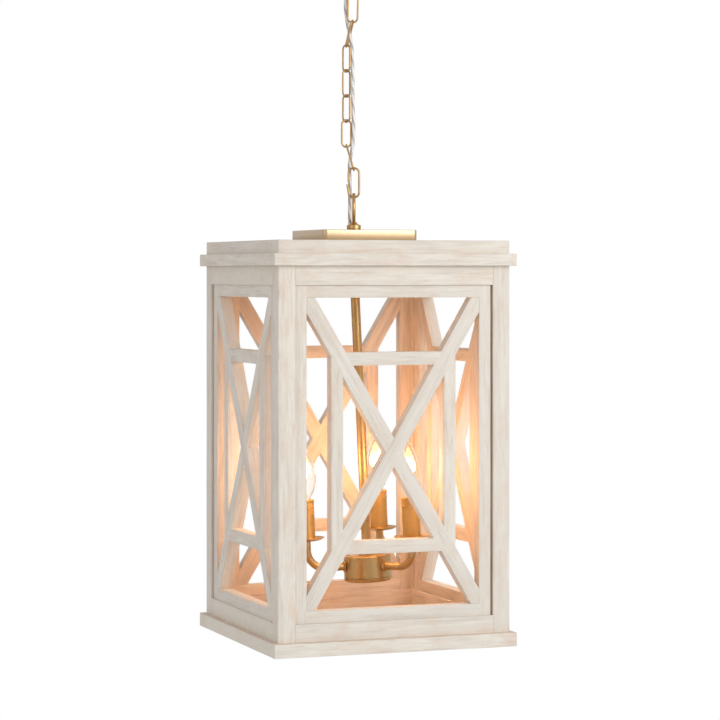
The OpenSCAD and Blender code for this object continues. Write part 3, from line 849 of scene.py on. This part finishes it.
def dish_profile(r):
    """A thin dish whose rim is rolled, with a low seat in the middle for the sleeve."""
    rim, seat = 0.6 * MM, [(14.6, 1.2), (13.8, 1.6), (13.6, 4), (4, 4), (4, 0)]
    under = [(4 * MM, 0), (13.5 * MM, 0), (r - 5 * MM, 1.0 * MM), (r - 1.2 * MM, 2.9 * MM)]
    top = [(r - 2.2 * MM, 3.5 * MM), (r - 5.5 * MM, 2.0 * MM)]
    return [*under, *arc(r - rim, 3.7 * MM, rim, -50, 170, 6), *top, *((x * MM, y * MM) for x, y in seat)]


DRIPS_H = 18 * MM


def drip_shape(seed, h, r):
    """How far wax stands out from a sleeve: runs of drips below a swollen rim."""
    rng = random.Random(seed)
    drips = [(rng.uniform(0, 2 * math.pi), rng.uniform(0.10, 0.20), rng.uniform(7, 13) * MM,
              rng.uniform(0.5, 1.0)) for _ in range(11)]

    def shape(angle, radius, height):
        if radius < r - 0.6 * MM or height < h - DRIPS_H:
            return radius
        down = h - height
        stand = 0.35 * MM * math.exp(-((down - 1.2 * MM) / (1.6 * MM)) ** 2)
        for place, width, length, size in drips:
            gap = (angle - place + math.pi) % (2 * math.pi) - math.pi
            side = math.exp(-(gap / width) ** 2)
            body = 1 / (1 + math.exp((down - length) / (0.35 * MM)))
            bead = math.exp(-((down - length + 0.6 * MM) / (1.1 * MM)) ** 2)
            stand += side * (0.45 * body + 0.75 * bead) * size * MM
        return radius + min(stand, 1.3 * MM)

    return shape


def add_candle(i):
    candle = CANDLES[i - 1]
    node = f"candle_sleeve_{i}"
    low, high, r = measure(node, candle, AXIS)
    h = high - low
    plain = [(r, h * k / 20) for k in range(13)]
    dripping = [(r, h - DRIPS_H + 17.2 * MM * k / 44) for k in range(45)]
    mouth = [(8.9 * MM, h), (8.6 * MM, h - 0.4 * MM), (8.6 * MM, h - 3 * MM)]
    edge = [(r - 0.4 * MM, h - 0.1 * MM), (r - 1.2 * MM, h)]
    profile = [(r - 1.4 * MM, 0), *plain, *dripping, *edge, *mouth]
    bm = bmesh.new()
    lathe(bm, candle + AXIS * low, AXIS, profile, 112, drip_shape(i, h, r))
    stand_for(new_object(node + "_wax", bm, [GOLD_SLEEVE], 60), node)


def add_dishes():
    bm = bmesh.new()
    for candle in CANDLES:
        p = node_points("drip_dishes") - np.array(candle)
        along = p @ np.array(AXIS)
        off = np.linalg.norm(p - along[:, None] * np.array(AXIS), axis=1)
        near = off < 40 * MM
        lathe(bm, candle + AXIS * along[near].min(), AXIS, dish_profile(off[near].max()), 80)
    stand_for(new_object("drip_dishes_spun", bm, [GOLD]), "drip_dishes")


def add_bulb_base(i):
    """A screw shell whose thread winds round as a helix."""
    candle, node = CANDLES[i - 1], f"bulb_base_{i}"
    low, high, r = measure(node, candle, AXIS)
    h = high - low
    shell, pitch = 5.85 * MM, 2.54 * MM

    def thread(angle, radius, height):
        if 2.6 * MM < height < h - 5.2 * MM:
            return radius - 0.28 * MM * (1 - math.cos(2 * math.pi * height / pitch - angle))
        return radius

    profile = [(0, 0), (3.4 * MM, 0), (4.6 * MM, 1.4 * MM), (shell, 2.5 * MM)]
    profile += [(shell, 2.5 * MM + (h - 7.5 * MM) * k / 40) for k in range(1, 41)]
    profile += [(shell, h - 4.8 * MM), (6.9 * MM, h - 3.2 * MM), (r, h - 2.6 * MM), (r, h - 0.3 * MM),
                (r - 0.4 * MM, h), (0, h)]
    bm = bmesh.new()
    lathe(bm, candle + AXIS * low, AXIS, profile, 64, thread)
    stand_for(new_object(node + "_screw", bm, [NICKEL], 50), node)


def add_bulb(i):
    """A blown candle bulb: glass, the glass mount inside it, two lead wires and the filament."""
    candle, node = CANDLES[i - 1], f"bulb_glass_{i}"
    low, high, r = measure(node, candle, AXIS)
    h = high - low
    neck = 6.6 * MM

    def glass_r(s):
        return math.hypot(neck * (1 - s), (r - 0.5 * MM) * max(0, math.sin(math.pi * s ** 0.72)) ** 0.85)

    steps = 40
    outside = [(glass_r(k / steps), h * k / steps) for k in range(steps + 1)]
    inside = [(max(0, radius - 0.8 * MM), min(h - 2 * MM, z)) for radius, z in outside[-2::-1]]
    foot = candle + AXIS * low
    bm = bmesh.new()
    lathe(bm, foot, AXIS, outside + inside + [outside[0]], 72)
    glass = stand_for(new_object(node + "_blown", bm, [GLASS], 80), node)
    glass.visible_shadow = False
    a, b = across(AXIS)
    bm = bmesh.new()
    mount = [(0, 0), (4.6, 0), (3.2, 5), (2.2, 9), (1.9, 15), (2.4, 18), (1.5, 20), (0, 20.4)]
    lathe(bm, foot, AXIS, [(x * MM, z * MM) for x, z in mount], 32)
    inner = ride_with(new_object(f"bulb_mount_{i}", bm, [GLASS], 80), node)
    inner.visible_shadow = False
    bm = bmesh.new()
    lead = [(12, 1.0), (19, 1.4), (22, 3.6), (27, 5.0)]
    for side in (-1, 1):
        sweep(bm, [foot + AXIS * z * MM + a * side * x * MM for z, x in lead], 0.28 * MM, sides=8)
    sweep(bm, [foot + AXIS * z * MM for z in (19, 34, 56)], 0.22 * MM, sides=8)
    ride_with(new_object(f"bulb_leads_{i}", bm, [NICKEL], 60), node)
    bm = bmesh.new()
    loops = 6
    path = []
    for k in range(loops * 10 + 1):
        t = k / (loops * 10)
        angle = -math.pi / 2 + math.pi * 2 * t * 0.97
        wave = 0.5 - 0.5 * math.cos(math.pi * t * loops)
        rise, reach = 27 + 25 * wave, 5.0 - 1.6 * wave
        path.append(foot + AXIS * rise * MM + (b * math.cos(angle) - a * math.sin(angle)) * reach * MM)
    sweep(bm, path, 0.42 * MM, sides=8)
    ride_with(new_object(f"bulb_filament_{i}", bm, [GLOW], 80), node)
    lamp = bpy.data.lights.new(f"bulb_light_{i}", "POINT")
    lamp.energy, lamp.color, lamp.shadow_soft_size = 0.30, (1.0, 0.56, 0.29), 0.012
    light = bpy.data.objects.new(f"bulb_light_{i}", lamp)
    light.location = foot + AXIS * 40 * MM
    bpy.context.collection.objects.link(light)
    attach(light, body_of_node[node])


for number in (1, 2, 3):
    add_arm(number)
    add_candle(number)
    add_bulb_base(number)
    add_bulb(number)
add_dishes()

# ---- CAD nodes that keep their shape ----
KEPT = {
    "ceiling_crossbar": STEEL, "nipple_nut": STEEL, "ceiling_nipple": GOLD, "canopy_ring_nut": GOLD,
    "top_nipple": GOLD, "swivel_cup": GOLD, "sockets": PLASTIC,
    "bulb_contact_1": NICKEL, "bulb_contact_2": NICKEL, "bulb_contact_3": NICKEL,
}
for kept_node, kept_material in KEPT.items():
    data = frame["nodes"][kept_node].data
    data.materials.clear()
    data.materials.append(kept_material)


# ---- stage ----
def add_area_light(name, energy, size, place, aim, colour=(1, 1, 1)):
    data = bpy.data.lights.new(name, "AREA")
    data.energy, data.size, data.color = energy, size, colour
    light = bpy.data.objects.new(name, data)
    light.location = place
    light.rotation_euler = (Vector(aim) - Vector(place)).to_track_quat("-Z", "Y").to_euler()
    bpy.context.collection.objects.link(light)


def add_floor():
    """A pale floor at the height of a room's, well below the hanging lantern."""
    bm = bmesh.new()
    bmesh.ops.create_grid(bm, x_segments=8, y_segments=8, size=2.2)
    p = Paint("pale_floor", Roughness=0.9)
    place = p.node("TexCoord").outputs["Object"]
    soft = p.noise(p.mapped(place, (2, 2, 2)), detail=3)
    material = p.use(Base_Color=p.ramp(soft, (0.3, (0.90, 0.90, 0.89)), (0.7, (0.94, 0.94, 0.93))))
    floor = new_object("floor", bm, [material])
    floor.location = (0, 0, -2.4)


def add_world():
    """A white studio: full white behind the lantern, a little dimmer as its light."""
    world = bpy.data.worlds.new("studio")
    bpy.context.scene.world = world
    world.use_nodes = True
    tree = world.node_tree
    back = tree.nodes["Background"]
    path = tree.nodes.new("ShaderNodeLightPath")
    seen = tree.nodes.new("ShaderNodeMath")
    seen.operation = "MAXIMUM"
    level = tree.nodes.new("ShaderNodeMapRange")
    level.inputs["To Min"].default_value = 0.62
    level.inputs["To Max"].default_value = 1.0
    tree.links.new(path.outputs["Is Camera Ray"], seen.inputs[0])
    tree.links.new(path.outputs["Is Transmission Ray"], seen.inputs[1])
    tree.links.new(seen.outputs[0], level.inputs["Value"])
    tree.links.new(level.outputs["Result"], back.inputs["Strength"])
    back.inputs["Color"].default_value = (1, 1, 1, 1)


add_floor()
add_world()
middle = (0, 0, BASE_Z + 0.27)
add_area_light("key", 34, 1.6, (1.3, -2.4, BASE_Z + 1.2), middle, (1.0, 0.985, 0.96))
add_area_light("fill", 6, 1.8, (-2.4, -1.6, BASE_Z + 0.6), middle, (1.0, 0.88, 0.83))
bpy.context.scene.view_settings.view_transform = "Standard"
